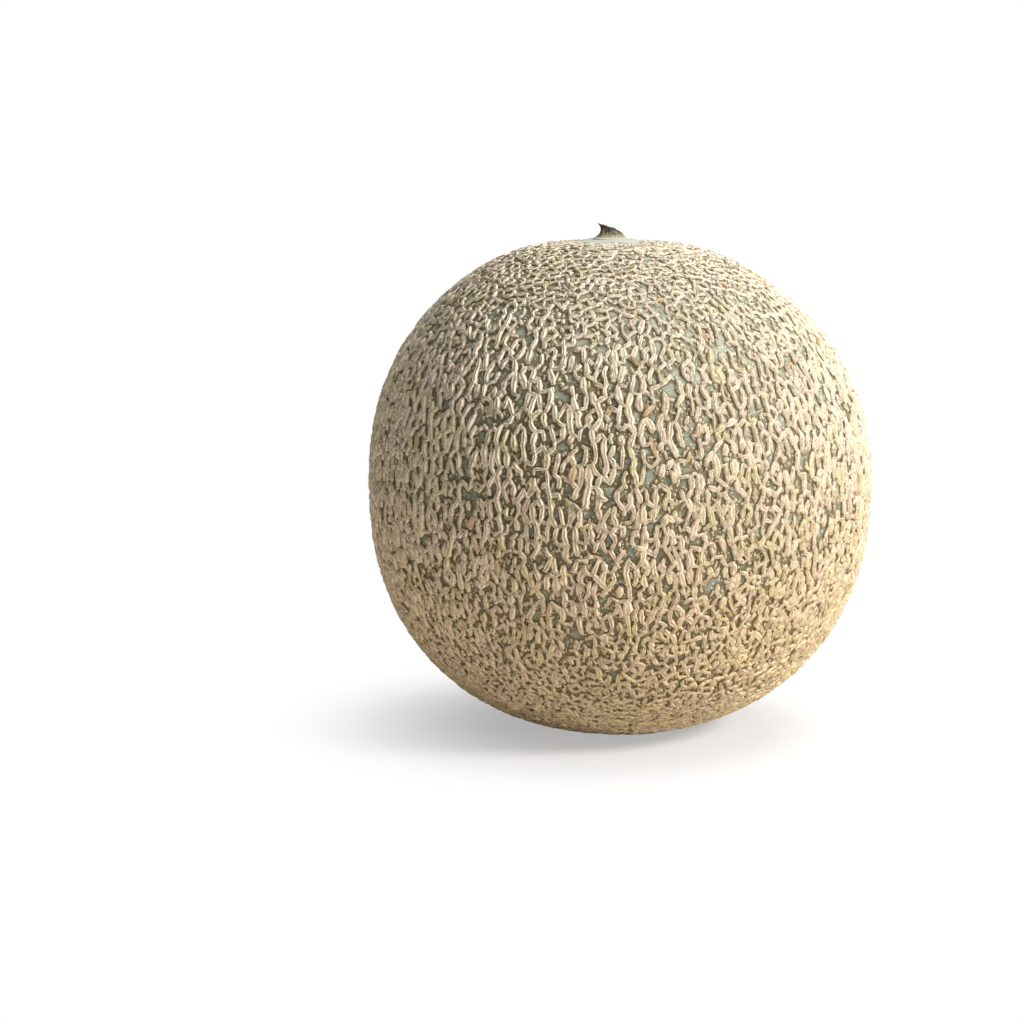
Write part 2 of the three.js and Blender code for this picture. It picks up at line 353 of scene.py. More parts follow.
class Strand:
    """One strand of cork: its middle line from tip to tip, its sides' half widths and its heights."""

    def __init__(self, path, widths, height, rng, section=BROAD):
        radius = bpy.context.scene.melon_shape.diameter / 2
        steps = np.linalg.norm(np.diff(path, axis=0), axis=1) * radius
        along = np.concatenate([[0], np.cumsum(steps)])
        self.length = along[-1]
        tip = min(TIP_LENGTH, TIP_SHARE * self.length)
        rings = max(2, round((self.length - 2 * tip) / RING_STEP) + 1)
        self.along = np.concatenate([[0], np.linspace(tip, self.length - tip, rings), [self.length]])
        path = np.column_stack([np.interp(self.along, along, part) for part in path.T])
        path /= np.linalg.norm(path, axis=1)[:, None]
        self.middle, self.normals = skin(path, rind_depth(path))
        half_width = np.interp(self.along, along, widths)
        from_tip = np.minimum(self.along, self.length - self.along)
        inwards = np.clip(from_tip / (TAPER_LENGTH * half_width), 0, 1)
        taper = (1 - (1 - inwards) ** 2) ** TAPER_POWER
        uneven = 1 + UNEVEN * rng.normal(size=(2, rings + 2)).clip(-UNEVEN_MOST, UNEVEN_MOST)
        self.sides = half_width * taper * uneven
        self.height = height * (0.35 + 0.65 * taper) * (0.72 + 0.28 * half_width / half_width.max())
        self.tone = rng.random()
        self.section = section

    def triangles(self):
        """How many triangles the strand's solid takes."""
        return 2 * self.section.points * (len(self.along) - 2)


def curve_through(points, step):
    """Points about a step apart on a smooth curve through some points, whose fourth number is a width."""
    points = np.vstack([2 * points[0] - points[1], points, 2 * points[-1] - points[-2]])
    made = []
    for before, start, end, after in zip(points, points[1:], points[2:], points[3:]):
        count = max(2, round(np.linalg.norm((end - start)[:3]) / step))
        t = (np.arange(count) / count)[:, None]
        made.append(
            start
            + 0.5 * t * (end - before)
            + t**2 * (before - 2.5 * start + 2 * end - 0.5 * after)
            + t**3 * (1.5 * (start - end) + 0.5 * (after - before))
        )
    made.append(points[-2][None])
    return np.vstack(made)


# The net's plan


# Two bars run on as one strand where the cosine between them is below this, at a share of such crossings.
IN_LINE = -0.84
JOINED = 0.75
# How much strands differ in width and height, and how far their bars bow
WIDTH_SPREAD = 0.18
HEIGHT_SPREAD = 0.17
BOW = 0.07
CROSSING_WIDTH = 0.9
MIDDLE_WIDTH = 1.06
# The share of ends that stop short of the next strand, and how many line steps the others overlap it
STOPS_SHORT = 0.2
OVERLAP = (0.6, 1.2)
LINE_STEP = 0.8 * MM
SHORTEST_STRAND = 1.3 * MM
# Where the net reaches its full height, in radii of the collar
NET_RISES = (0.9, 2.6)
# The small bits' half lengths and half widths in millimetres, and heights as shares of the net's
BIT_REACH = (0.4, 1.5)
BIT_WIDTH = (0.3, 0.55)
BIT_HEIGHT = (0.3, 0.65)
# How far the small bits stay from the bare collar and the scar
BIT_CLEAR = 1.5 * MM


def thinness(starts, ends):
    """Up to 1 for the thin bars: those round the fruit on its side, and those down it near its poles."""
    run, middle = ends - starts, (starts + ends) / 2
    flat = np.hypot(middle[..., 0], middle[..., 1])
    across = np.abs(middle[..., 0] * run[..., 1] - middle[..., 1] * run[..., 0])
    across /= np.maximum(flat * np.linalg.norm(run, axis=-1), 1e-9)
    side, pole = smoothstep(0.55, 0.9, flat), 1 - smoothstep(0.25, 0.6, flat)
    return across * side + (1 - across) * pole


def kept_bars(crossings, bars, rng):
    """The bars that are there: thin ones are missing more often, and all are by the stem and the scar."""
    scene = bpy.context.scene
    starts, ends = crossings[bars[:, 0]], crossings[bars[:, 1]]
    centre = (starts + ends) / 2
    missing = scene.melon_net.broken * (0.5 + 1.3 * thinness(starts, ends))
    radius = scene.melon_shape.diameter / 2
    bare = np.hypot(*(centre[:, :2] * radius).T) < bare_radius(centre[:, 2])
    return bars[(rng.random(len(bars)) > missing) & ~bare]


def chained(crossings, bars, rng):
    """Bars joined end to end into strands: each strand is a list of crossings."""
    ends = [[] for _ in crossings]
    for number, (a, b) in enumerate(bars):
        ends[a].append((number, b))
        ends[b].append((number, a))
    partner = {}
    for here, leaving in enumerate(ends):
        ways = crossings[[there for _, there in leaving]] - crossings[here]
        ways /= np.maximum(np.linalg.norm(ways, axis=1), 1e-9)[:, None]
        pairs = [(ways[i] @ ways[j], i, j) for i in range(len(ways)) for j in range(i)]
        if pairs and min(pairs)[0] < IN_LINE and rng.random() < JOINED:
            _, i, j = min(pairs)
            partner[leaving[i][0], here] = leaving[j]
            partner[leaving[j][0], here] = leaving[i]
    strands = []
    used = set()
    for number, (a, b) in enumerate(bars):
        if number in used:
            continue
        used.add(number)
        strand = [a, b]
        # The chain grows at one end, is turned round, and grows at the other.
        for side in (False, True):
            bar = number
            while (step := partner.get((bar, strand[-1]))) and step[0] not in used:
                bar = step[0]
                used.add(bar)
                strand.append(step[1])
            if not side:
                strand.reverse()
        strands.append(strand)
    return strands


def strand_through(knots, rng):
    """A strand through some crossings, whose bars bow a little and are widest at their middles."""
    shape, net = bpy.context.scene.melon_shape, bpy.context.scene.melon_net
    radius = shape.diameter / 2
    halfway = knots[len(knots) // 2]
    thick = thickness(halfway)
    size = net.half_width * thick * (1 + WIDTH_SPREAD * np.clip(rng.normal(), -2, 2))
    line = [(*knots[0], CROSSING_WIDTH * size)]
    for start, end, thin in zip(knots, knots[1:], thinness(knots[:-1], knots[1:])):
        middle = (start + end) / 2 + np.cross(end - start, start) * rng.normal(scale=BOW)
        wide = size * (1.12 - 0.4 * thin)
        line += [(*middle, MIDDLE_WIDTH * wide), (*end, CROSSING_WIDTH * wide)]
    line = curve_through(np.array(line), LINE_STEP / radius)
    # Each end lies over the strand that it meets, or stops short of it.
    for _ in range(2):
        line = line[::-1]
        if len(line) > 5 and rng.random() < STOPS_SHORT:
            line = line[: -int(rng.integers(1, 3))]
        else:
            line = np.vstack([line, line[-1] + (line[-1] - line[-2]) * rng.uniform(*OVERLAP)])
    away = math.hypot(halfway[0], halfway[1]) * radius / shape.collar
    grown = smoothstep(*NET_RISES, away) if halfway[2] > 0 else 1
    height = net.height * (0.35 + 0.65 * grown) * height_share(thick)
    height *= 1 + HEIGHT_SPREAD * np.clip(rng.normal(), -2, 1)
    return Strand(line[:, :3], line[:, 3], height, rng)


def uprightness(flat):
    """How upright small bits lie: 1 on the fruit's side, and 0 near its poles, where they lie round it."""
    return smoothstep(0.4, 0.9, flat)


def small_bit(middle, rng):
    """A small bit of cork near the middle of a cell."""
    scene = bpy.context.scene
    radius = scene.melon_shape.diameter / 2
    flat = math.hypot(middle[0], middle[1])
    down = np.array([middle[0] * middle[2], middle[1] * middle[2], -(1 - middle[2] ** 2)]) / flat
    aside = np.cross(middle, down)
    upright = uprightness(flat)
    turn = (1 - upright) * math.pi / 2 + rng.normal(scale=0.5)
    way = down * math.cos(turn) + aside * math.sin(turn)
    slip = rng.normal(size=2) * (0.7 + 1.3 * upright, 1.3 - 0.55 * upright) * MM / radius
    size = 0.75 + 0.25 * upright
    reach = rng.uniform(*BIT_REACH) * size * MM / radius
    path = middle + down * slip[0] + aside * slip[1] + way * np.linspace(-reach, reach, 3)[:, None]
    widths = np.full(3, rng.uniform(*BIT_WIDTH) * size * MM)
    height = rng.uniform(*BIT_HEIGHT) * scene.melon_net.height * (0.6 + 0.4 * upright)
    return Strand(path, widths, height, rng, SMALL)


def small_bits(middles, rng):
    """The small bits of cork in all cells, with more of them in the wide cells near the poles."""
    scene = bpy.context.scene
    radius = scene.melon_shape.diameter / 2
    upright = uprightness(np.hypot(middles[:, 0], middles[:, 1]))
    counts = rng.poisson(scene.melon_net.islands * (1.7 - 0.7 * upright))
    return [
        small_bit(middle, rng)
        for middle in np.repeat(middles, counts, axis=0)
        if math.hypot(middle[0], middle[1]) * radius >= bare_radius(middle[2]) + BIT_CLEAR
    ]


@functools.lru_cache(maxsize=1)
def net_plan():
    """All strands of the net and its small bits, from the top of the fruit down."""
    scene = bpy.context.scene
    rng = np.random.default_rng(scene.melon_net.seed)
    radius = scene.melon_shape.diameter / 2
    middles = scattered(scene.melon_net.pitch / radius, rng)
    # Moving the directions to the middles of their cells makes the cells more alike.
    for _ in range(2):
        _, _, middles = cells_round(middles)
    crossings, bars, _ = cells_round(middles)
    crossings = stretched(crossings)
    crossings += rng.normal(scale=CROSSING_SLIP / radius, size=crossings.shape)
    chains = chained(crossings, kept_bars(crossings, bars, rng), rng)
    strands = [strand_through(crossings[chain], rng) for chain in chains]
    strands = [strand for strand in strands if strand.length > SHORTEST_STRAND]
    strands += small_bits(stretched(middles), rng)
    return sorted(strands, key=lambda strand: -strand.middle[0, 2])


# Meshes


BANDS = ("net_crown", "net_shoulder", "net_waist", "net_lower_side", "net_foot")
STRIP_WIDTH = 5.0 * MM
STRIP_GAP = 0.8 * MM
# A strand's rings without its two tips
BODY = slice(1, -1)
# What the tips count as between the roots of a strand, 0, and its top, 1
TIP_LIFT = 0.3


def mesh_piece(name, points, faces, corner_uvs, material):
    """A smooth piece from arrays: the faces are given as a list of arrays with rows of one length each."""
    mesh = bpy.data.meshes.new(name)
    mesh.from_pydata(points, [], [row for rows in faces for row in rows.tolist()])
    layer = mesh.uv_layers.new(name=UV_MAP)
    layer.data.foreach_set("uv", np.concatenate([uv.reshape(-1, 2) for uv in corner_uvs]).ravel())
    mesh.shade_smooth()
    mesh.materials.append(material)
    piece = bpy.data.objects.new(name, mesh)
    bpy.context.scene.collection.objects.link(piece)
    return piece


def store(piece, name, values):
    """Keeps a number for each of a piece's points, for its material to read."""
    attribute = piece.data.attributes.new(name, "FLOAT", "POINT")
    attribute.data.foreach_set("value", np.asarray(values, dtype=np.float32))


def wall(first, rings, count):
    """Squares between rings of points that follow one another, numbered from the first."""
    ring = np.arange(count)
    rows = first + count * np.arange(rings - 1)[:, None]
    here, there = rows + ring, rows + np.roll(ring, -1)
    return np.stack([here, there, there + count, here + count], axis=2).reshape(-1, 4)


def wall_uvs(u, v):
    """Places on the map for a wall's corners, whose rings lie at the heights v and their points at u."""
    left, low = np.meshgrid(u[:-1], v[:-1])
    right, high = np.meshgrid(u[1:], v[1:])
    return np.stack([left, low, right, low, right, high, left, high], axis=2).reshape(-1, 8)


def strand_points(strand, root):
    """The points of a strand's solid: its first tip, its rings one after another, and its last tip."""
    along = np.gradient(strand.middle, axis=0)
    along /= np.linalg.norm(along, axis=1)[:, None]
    right = np.cross(along, strand.normals)
    right /= np.linalg.norm(right, axis=1)[:, None]
    across, up = strand.section.across, strand.section.up
    left_side, right_side = strand.sides[:, BODY, None]
    out = (np.where(across < 0, left_side, right_side) * across)[:, :, None]
    lift = np.where(up > 0, up * strand.height[BODY, None], -root)[:, :, None]
    rings = strand.middle[BODY, None] + right[BODY, None] * out + strand.normals[BODY, None] * lift
    # Nothing reaches under the floor.
    rings[:, :, 2] = np.maximum(rings[:, :, 2], 0)
    return np.vstack([strand.middle[:1], rings.reshape(-1, 3), strand.middle[-1:]])


def strand_fans(first, rings, count):
    """The triangles that close a strand's solid at its two tips."""
    ring = np.arange(count)
    after = np.roll(ring, -1)
    last_ring = first + 1 + count * (rings - 1)
    start = np.column_stack([np.full(count, first), first + 1 + after, first + 1 + ring])
    end = np.column_stack([last_ring + ring, last_ring + after, np.full(count, last_ring + count)])
    return np.vstack([start, end])


def strand_fan_uvs(u, v):
    """Places on the map for the corners of the triangles at a strand's two tips."""
    between = (u[:-1] + u[1:]) / 2
    start, first, last, end = (np.full(len(between), level) for level in v[[0, 1, -2, -1]])
    return np.vstack(
        [
            np.column_stack([between, start, u[1:], first, u[:-1], first]),
            np.column_stack([u[:-1], last, u[1:], last, between, end]),
        ]
    )


def strips(strands):
    """The column and the start on the map of each strand's strip, and the map's columns and height."""
    total = sum(strand.length + 2 * STRIP_GAP for strand in strands)
    longest = max(strand.length for strand in strands) + 2 * STRIP_GAP
    height = max(math.sqrt(total * STRIP_WIDTH), longest)
    column, at, places = 0, 0.0, []
    for strand in strands:
        needed = strand.length + 2 * STRIP_GAP
        if at + needed > height:
            column, at = column + 1, 0.0
        places.append((column, at + STRIP_GAP))
        at += needed
    return places, column + 1, height


def with_tips(first, rings, last):
    """Numbers for the points of a strand's solid: for its first tip, for its rings and for its last tip."""
    return np.concatenate([[first], rings, [last]])


def net_piece(name, strands, material):
    """One piece of the net, with its strands as closed solids sunk into the rind."""
    root = bpy.context.scene.melon_net.root
    places, columns, height = strips(strands)
    points, walls, fans, uvs, fan_uvs = [], [], [], [], []
    numbers = {"lift": [], "across": [], "along": [], "tone": []}
    first = 0
    for strand, (column, start) in zip(strands, places):
        section, rings = strand.section, len(strand.along) - 2
        points.append(strand_points(strand, root))
        walls.append(wall(first + 1, rings, section.points))
        fans.append(strand_fans(first, rings, section.points))
        u, v = (column + section.strip) / columns, (start + strand.along) / height
        uvs.append(wall_uvs(u, v[BODY]))
        fan_uvs.append(strand_fan_uvs(u, v))
        along = np.repeat(strand.along[BODY], section.points)
        numbers["lift"].append(with_tips(TIP_LIFT, np.tile(section.up, rings), TIP_LIFT))
        numbers["across"].append(with_tips(0, np.tile(section.across, rings), 0))
        numbers["along"].append(with_tips(0, along, strand.length))
        numbers["tone"].append(np.full(len(points[-1]), strand.tone))
        first += len(points[-1])
    faces = [np.concatenate(walls), np.concatenate(fans)]
    piece = mesh_piece(name, np.concatenate(points), faces, uvs + fan_uvs, material)
    for number, values in numbers.items():
        store(piece, number, np.concatenate(values))
    crisp_lips(piece, np.concatenate(numbers["across"]))
    return piece


def crisp_lips(piece, across):
    """Keeps the edges between the strands' flat tops and their flanks crisp."""
    edges = np.empty(2 * len(piece.data.edges), dtype=np.int32)
    piece.data.edges.foreach_get("vertices", edges)
    ends = across[edges.reshape(-1, 2)]
    sharp = (np.abs(np.abs(ends) - LIP).max(axis=1) < 1e-6) & (ends[:, 0] * ends[:, 1] > 0)
    piece.data.attributes.new("sharp_edge", "BOOLEAN", "EDGE").data.foreach_set("value", sharp)


def folded_square(side):
    """A square grid folded round the sphere: its directions, its triangles and their places on the map."""
    line = np.linspace(-1, 1, 2 * side + 1)
    u, v = np.meshgrid(line, line)
    z = 1 - np.abs(u) - np.abs(v)
    fold_u = (1 - np.abs(v)) * np.where(u < 0, -1, 1)
    fold_v = (1 - np.abs(u)) * np.where(v < 0, -1, 1)
    x, y = np.where(z < 0, fold_u, u), np.where(z < 0, fold_v, v)
    directions = np.stack([x, y, z], axis=2).reshape(-1, 3)
    directions /= np.linalg.norm(directions, axis=1)[:, None]
    # Points that meet where the square's rim closes are one point. Adding 0 turns -0 into 0.
    rounded = np.round(directions, 7) + 0.0
    _, kept, merged = np.unique(rounded, axis=0, return_index=True, return_inverse=True)
    grid = np.arange((2 * side + 1) ** 2).reshape(2 * side + 1, -1)
    corners = (grid[:-1, :-1], grid[:-1, 1:], grid[1:, 1:], grid[1:, :-1])
    a, b, c, d = (corner.ravel() for corner in corners)
    # Each square is cut along the diagonal that runs with the fold.
    u, v = u.ravel(), v.ravel()
    falling = ((u[a] + u[c]) * (v[a] + v[c]) > 0)[:, None]
    one = np.where(falling, np.column_stack([a, b, d]), np.column_stack([a, b, c]))
    two = np.where(falling, np.column_stack([b, c, d]), np.column_stack([a, c, d]))
    triangles = np.vstack([one, two])
    places = np.column_stack([u, v])[triangles] / 2 + 0.5
    return directions[kept], merged.reshape(-1)[triangles], places


# Materials


class Value:
    """A number that changes over a surface: a socket, with the arithmetic that adds its Math nodes."""

    def __init__(self, nodes, socket):
        self.nodes, self.socket = nodes, socket

    def math(self, operation, *operands):
        return self.nodes.add("ShaderNodeMath", {"operation": operation}, dict(enumerate(operands)))

    def __add__(self, other):
        return self.math("ADD", self, other)

    def __sub__(self, other):
        return self.math("SUBTRACT", self, other)

    def __rsub__(self, other):
        return self.math("SUBTRACT", other, self)

    def __mul__(self, other):
        return self.math("MULTIPLY", self, other)

    def __truediv__(self, other):
        return self.math("DIVIDE", self, other)

    __radd__ = __add__
    __rmul__ = __mul__

    def between(self, low, high):
        """0 where this is at one value, 1 where it is at the other, smooth between and held beyond."""
        inputs = {"Value": self, "From Min": low, "From Max": high}
        return self.nodes.add("ShaderNodeMapRange", {"interpolation_type": "SMOOTHSTEP"}, inputs)


# The Mix node's sockets for colours, which go by number because its other kinds have the same names
MIX_FACTOR, MIX_FIRST, MIX_SECOND, MIX_RESULT = 0, 6, 7, 2


def opaque(paint):
    """A plain colour with the alpha that its socket wants, or a Value as it is."""
    return (*paint, 1) if isinstance(paint, tuple) else paint


class Nodes:
    """The nodes of one material round its shader."""

    def __init__(self, name, constants=None):
        self.material = bpy.data.materials.new(name)
        self.material.use_nodes = True
        self.tree = self.material.node_tree
        self.shader = self.tree.nodes["Principled BSDF"]
        self.feed(self.shader, constants or {})

    def add(self, kind, settings=None, inputs=None, output=0):
        """A node of some kind with its settings and inputs, given as one of its outputs."""
        node = self.tree.nodes.new(kind)
        for setting, value in (settings or {}).items():
            setattr(node, setting, value)
        self.feed(node, inputs or {})
        return Value(self, node.outputs[output])

    def feed(self, node, inputs):
        """Sets or links a node's sockets."""
        for socket, value in inputs.items():
            if isinstance(value, Value):
                self.tree.links.new(value.socket, node.inputs[socket])
            else:
                node.inputs[socket].default_value = value

    def place(self):
        """The point of the surface, in metres."""
        return self.add("ShaderNodeTexCoord", output="Object")

    def height(self):
        """How high the surface lies, in metres."""
        return self.add("ShaderNodeSeparateXYZ", inputs={0: self.place()}, output="Z")

    def noise(self, grain, detail=2.0, roughness=0.5, stretch=(1, 1, 1)):
        """Soft noise from 0 to 1 with a grain of some length."""
        scaled = self.add("ShaderNodeMapping", inputs={"Vector": self.place(), "Scale": stretch})
        inputs = {"Vector": scaled, "Scale": 1 / grain, "Detail": detail, "Roughness": roughness}
        return self.add("ShaderNodeTexNoise", inputs=inputs)

    def kept(self, name):
        """A number kept for each of the piece's points."""
        return self.add("ShaderNodeAttribute", {"attribute_name": name}, output="Fac")

    def mix(self, factor, first, second, blend="MIX"):
        """One colour where the factor is 0, and the other, or what it does to the first, where it is 1."""
        settings = {"data_type": "RGBA", "blend_type": blend}
        inputs = {MIX_FACTOR: factor, MIX_FIRST: opaque(first), MIX_SECOND: opaque(second)}
        return self.add("ShaderNodeMix", settings, inputs, output=MIX_RESULT)

    def bump(self, height, distance, below=None):
        """A normal that stands for a height of 0 to 1 over a distance."""
        inputs = {"Height": height, "Distance": distance, "Strength": 1.0}
        if below is not None:
            inputs["Normal"] = below
        return self.add("ShaderNodeBump", inputs=inputs)

    def finish(self, **inputs):
        """Links what changes over the surface, and gives back the material."""
        named = {socket.replace("_", " ").title(): value for socket, value in inputs.items()}
        self.feed(self.shader, named)
        return self.material


def colours():
    """The colours of the panel as plain tuples."""
    chosen = bpy.context.scene.melon_colours
    return {name: tuple(getattr(chosen, name)) for name in chosen.__annotations__}


@functools.lru_cache(maxsize=1)
def cork_material():
    """Dry cork: pale lips, a pinkish fissure, flanks and knob hollows darkened with painted shade, and a
    golden cast low down on the fruit.
    """
    paint = colours()
    nodes = Nodes("cork", {"Specular IOR Level": 0.15})
    height = nodes.height()
    low_down = 1 - height.between(8 * MM, 135 * MM)
    patches = nodes.noise(9 * MM, 3)
    tone, across, along = nodes.kept("tone"), nodes.kept("across"), nodes.kept("along")
    # Fissures run along each strand: the place on it is measured finely across and coarsely along.
    place = nodes.add("ShaderNodeCombineXYZ", inputs={0: across * 1.6, 1: along / (2.2 * MM), 2: tone * 90})
    streaks = nodes.add("ShaderNodeTexNoise", inputs={"Vector": place, "Scale": 1.6, "Detail": 3.0})
    crack = (streaks * 1.2 + tone * 0.12).between(0.68, 0.9)
    top = nodes.mix(patches.between(0.5, 0.66) * (0.3 + 0.5 * tone), paint["cork"], paint["cork_pink"])
    top = nodes.mix((across * across).between(0.05, 0.3), top, paint["cork_lip"])
    top = nodes.mix(crack * 0.75, top, paint["cork_crack"])
    grain = nodes.noise(0.4 * MM, 3, 0.65)
    knobs = nodes.noise(0.9 * MM, 2)
    # Painted shade: the low spots of the knobs' bump are darkened with the crack colour.
    top = nodes.mix((1 - knobs).between(0.5, 0.72) * 0.4, top, paint["cork_crack"])
    top = nodes.mix(nodes.noise(7 * MM, 2).between(0.48, 0.68), top, paint["cork_green"], "MULTIPLY")
    top = nodes.mix(low_down, top, paint["cork_golden"], "MULTIPLY")
    top = nodes.mix(tone.between(0.975, 0.99) * 0.75, top, paint["cork_tan"])
    # Painted shade: the strands are darker towards their feet, where they meet the rind.
    out_of_shade = nodes.kept("lift") + nodes.noise(0.5 * MM, 2) * 0.3 - 0.15
    colour_of = nodes.mix(out_of_shade.between(0.08, 0.6), paint["cork_side"], top)
    relief = nodes.bump(grain - crack, 0.2 * MM, below=nodes.bump(knobs, 0.42 * MM))
    return nodes.finish(base_color=colour_of, roughness=0.85 + 0.1 * grain, normal=relief)


@functools.lru_cache(maxsize=1)
def rind_material():
    """Waxy grey-green rind with a bluish bloom, painted shade along the strands and towards the bottom,
    lighter towards the top partly with painted light, and dotted with cork.
    """
    paint = colours()
    nodes = Nodes("rind", {"Specular IOR Level": 0.35})
    cloud = nodes.noise(14 * MM, 3)
    bloom = (nodes.noise(2.2 * MM, 3) * 0.6 + cloud * 0.6).between(0.42, 0.78)
    colour_of = nodes.mix(bloom, paint["rind"], paint["rind_pale"])
    height = nodes.height()
    # Lighter towards the top: partly a paler rind near the stem, partly painted light that lifts the shade
    # in the gaps.
    colour_of = nodes.mix(height.between(70 * MM, 130 * MM) * 0.75, colour_of, paint["rind_top"])
    colour_of = nodes.mix(nodes.kept("collar") * (0.6 + 0.5 * cloud), colour_of, paint["collar"])
    # Painted shade: the rind is darkened close beside the strands, a little less near the top, and towards
    # the bottom of the fruit.
    near = nodes.kept("near_net") + nodes.noise(0.7 * MM, 2) * 0.3 - 0.15
    painted_shade = near.between(0.05, 0.6) * (0.9 - 0.3 * height.between(80 * MM, 130 * MM))
    painted_shade = painted_shade + (1 - height.between(15 * MM, 75 * MM)) * 0.45
    colour_of = nodes.mix(painted_shade, colour_of, paint["crevice"])
    cell = nodes.add("ShaderNodeTexVoronoi", inputs={"Vector": nodes.place(), "Scale": 1 / MM})
    speck = 1 - cell.between(0.2, 0.34)
    colour_of = nodes.mix(speck * 0.9, colour_of, paint["speck"])
    pores = nodes.noise(0.25 * MM, 2)
    relief = nodes.bump(speck * 0.7 + pores * 0.3, 0.15 * MM)
    return nodes.finish(base_color=colour_of, roughness=0.5 + 0.2 * pores, normal=relief)


@functools.lru_cache(maxsize=1)
def stem_material():
    """Dried stem: grey-brown bark, paler broken fibres and an olive foot."""
    paint = colours()
    nodes = Nodes("dried stem")
    rise = nodes.kept("rise")
    fibres = nodes.noise(0.55 * MM, 4, 0.6, stretch=(1, 1, 0.25))
    colour_of = nodes.mix(fibres.between(0.35, 0.7), paint["bark"], paint["pith"])
    foot = 1 - rise.between(0.1, 0.6)
    colour_of = nodes.mix(foot * (0.5 + nodes.noise(2 * MM)), colour_of, paint["moss"])
    colour_of = nodes.mix(1 - rise.between(0.02, 0.2), colour_of, paint["collar"])
    colour_of = nodes.mix(rise.between(0.6, 0.9) * 0.9, colour_of, paint["bark"])
    relief = nodes.bump(fibres, 0.2 * MM)
    return nodes.finish(base_color=colour_of, roughness=0.8 + 0.15 * fibres, normal=relief)


# Operators


# Half the squares along a side of the rind's grid
RIND_GRID = 125
# How far beside a strand the rind is darkened with painted shade, and how much it sinks there
CREVICE_REACH = 1.1 * MM
CREVICE_DEPTH = 0.08 * MM
# The collar stands above the crests, with faint rings on it and a mound under the stem.
COLLAR_RISE = 0.1 * MM
RING_HEIGHT = 0.1 * MM
RING_WAVE = 0.42 * MM
MOUND_HEIGHT = 0.2 * MM
# The scar is sunk, with folds that run out from its middle.
SCAR_DEPTH = 0.5 * MM
FOLD_DEPTH = 0.2 * MM
FOLDS = 9


class MELON_OT_rind(bpy.types.Operator):
    """Grows the bare rind, with its collar, its flat spot and the blossom scar"""

    bl_idname = "melon.rind"
    bl_label = "Rind"

    def execute(self, context):
        shape = context.scene.melon_shape
        directions, triangles, places = folded_square(RIND_GRID)
        depth = rind_depth(directions)
        points, _ = skin(directions, depth)
        near = self.near_net(points)
        away = np.hypot(directions[:, 0], directions[:, 1]) * shape.diameter / 2
        top, bottom = directions[:, 2] > 0, directions[:, 2] < 0
        depth = depth + CREVICE_DEPTH * near
        depth = np.where(top, self.collar_depth(depth, away, shape.collar), depth)
        turn = np.arctan2(directions[:, 1], directions[:, 0])
        depth = np.where(bottom, self.scar_depth(depth, away, turn, shape.scar), depth)
        points, _ = skin(directions, depth)
        piece = mesh_piece("rind", points, [triangles], [places], rind_material())
        store(piece, "near_net", near)
        bare = 1 - smoothstep(0.95 * shape.collar, 1.6 * shape.collar, away)
        store(piece, "collar", np.where(top, bare, 0))
        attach(piece, "root")
        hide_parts("fruit")
        return {"FINISHED"}

    def near_net(self, points):
        """1 at a strand's edge and under it, and falling off to 0 where its crevice ends."""
        strands = net_plan()
        middles = np.concatenate([strand.middle for strand in strands])
        half_widths = np.concatenate([strand.sides.mean(axis=0) for strand in strands])
        tree = KDTree(len(middles))
        for i, middle in enumerate(middles):
            tree.insert(middle, i)
        tree.balance()
        near = np.empty(len(points))
        for i, point in enumerate(points):
            _, index, distance = tree.find(point)
            near[i] = distance - half_widths[index]
        return 1 - np.clip(near / CREVICE_REACH, 0, 1)

    def collar_depth(self, depth, away, radius):
        """How deep the upper rind lies, with the collar's rings and the mound under the stem."""
        outside = smoothstep(0.42 * radius, 1.3 * radius, away)
        rings = RING_HEIGHT * np.sin(away / RING_WAVE) * (1 - outside)
        mound = MOUND_HEIGHT * (1 - smoothstep(0.3 * radius, 0.85 * radius, away))
        return depth * outside - COLLAR_RISE * (1 - outside) - mound + rings

    def scar_depth(self, depth, away, turn, radius):
        """How deep the lower rind lies, with the sunken folds of the blossom scar."""
        inside = 1 - smoothstep(0.7 * radius, radius, away)
        return depth + inside * (SCAR_DEPTH + FOLD_DEPTH * np.cos(FOLDS * turn))


class MELON_OT_net(bpy.types.Operator):
    """Grows the raised cork net, in bands from the crown to the foot"""

    bl_idname = "melon.net"
    bl_label = "Cork net"

    def execute(self, context):
        strands = net_plan()
        grown = np.cumsum([strand.triangles() for strand in strands])
        band_of = np.minimum(grown * len(BANDS) // grown[-1], len(BANDS) - 1)
        for number, name in enumerate(BANDS):
            band = [strand for strand, own in zip(strands, band_of) if own == number]
            piece = net_piece(name, band, cork_material())
            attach(piece, "root")
            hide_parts("fruit")
        return {"FINISHED"}


STEM_SIDES = 96
STEM_LEVELS = 40
STEM_SEED = 5
# In millimetres: the height of the stub's low side and what its slant and its tip add, then its radius, the
# flare of its foot, the bulge of its low side and the lean of its tip
LOW_SIDE, SLANT, TIP = 2.2, 1.7, 0.75
STEM_RADIUS, FLARE, BULGE, LEAN = 2.9, 2.7, 2.2, 1.2
# The sizes of the broken end's rings, as shares of the rim's, and their depths in millimetres
BROKEN_RINGS = ((0.9, 0.05), (0.7, 0.6), (0.4, 0.9), (0.12, 0.8))
BROKEN_GRAIN = 0.04 * MM
# On the map the stub's walls fill the lower part, and its end and its foot are circles above them.
WALL_ON_MAP = 0.9
CIRCLE_ON_MAP = 0.04
END_ON_MAP = (0.25, 0.95)
FOOT_ON_MAP = (0.75, 0.95)


